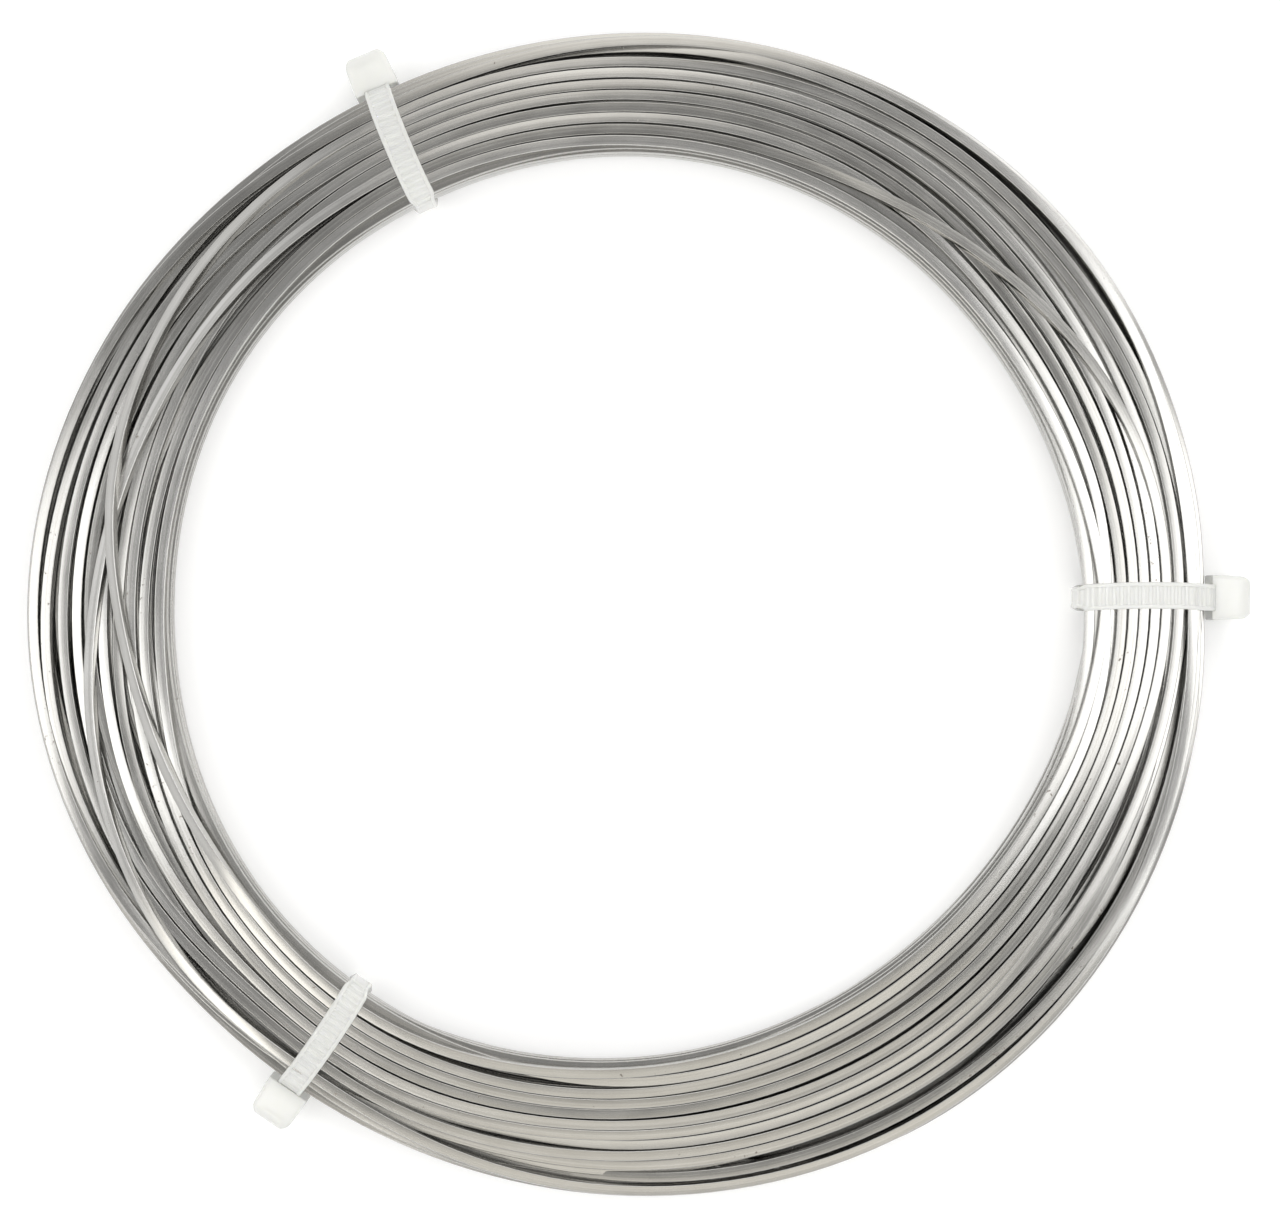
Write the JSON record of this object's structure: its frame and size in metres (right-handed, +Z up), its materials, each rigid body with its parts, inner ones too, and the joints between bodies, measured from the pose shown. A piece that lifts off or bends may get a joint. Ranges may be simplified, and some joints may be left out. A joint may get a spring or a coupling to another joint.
{
  "type": "wire coil",
  "caption": "Flat ring coil of square bright steel wire, wound in close turns around an open bore and bound by nylon cable ties whose heads stand on the rim.",
  "frame": {"origin": "centre of the coil's bore, at half its height", "axes": "+Z up along the bore's axis; +X towards the cable tie called right; the coil lies flat on its lower face"},
  "size_m": [0.2197, 0.2128, 0.0157],
  "materials": {
    "bright_wire": "satin, drawn along the wire",
    "natural_nylon": "translucent natural moulding"
  },
  "bodies": {
    "root": {"wire_coil": "bright_wire", "cable_tie_right": "natural_nylon", "cable_tie_upper": "natural_nylon", "cable_tie_lower": "natural_nylon"}
  },
  "joints": []
}
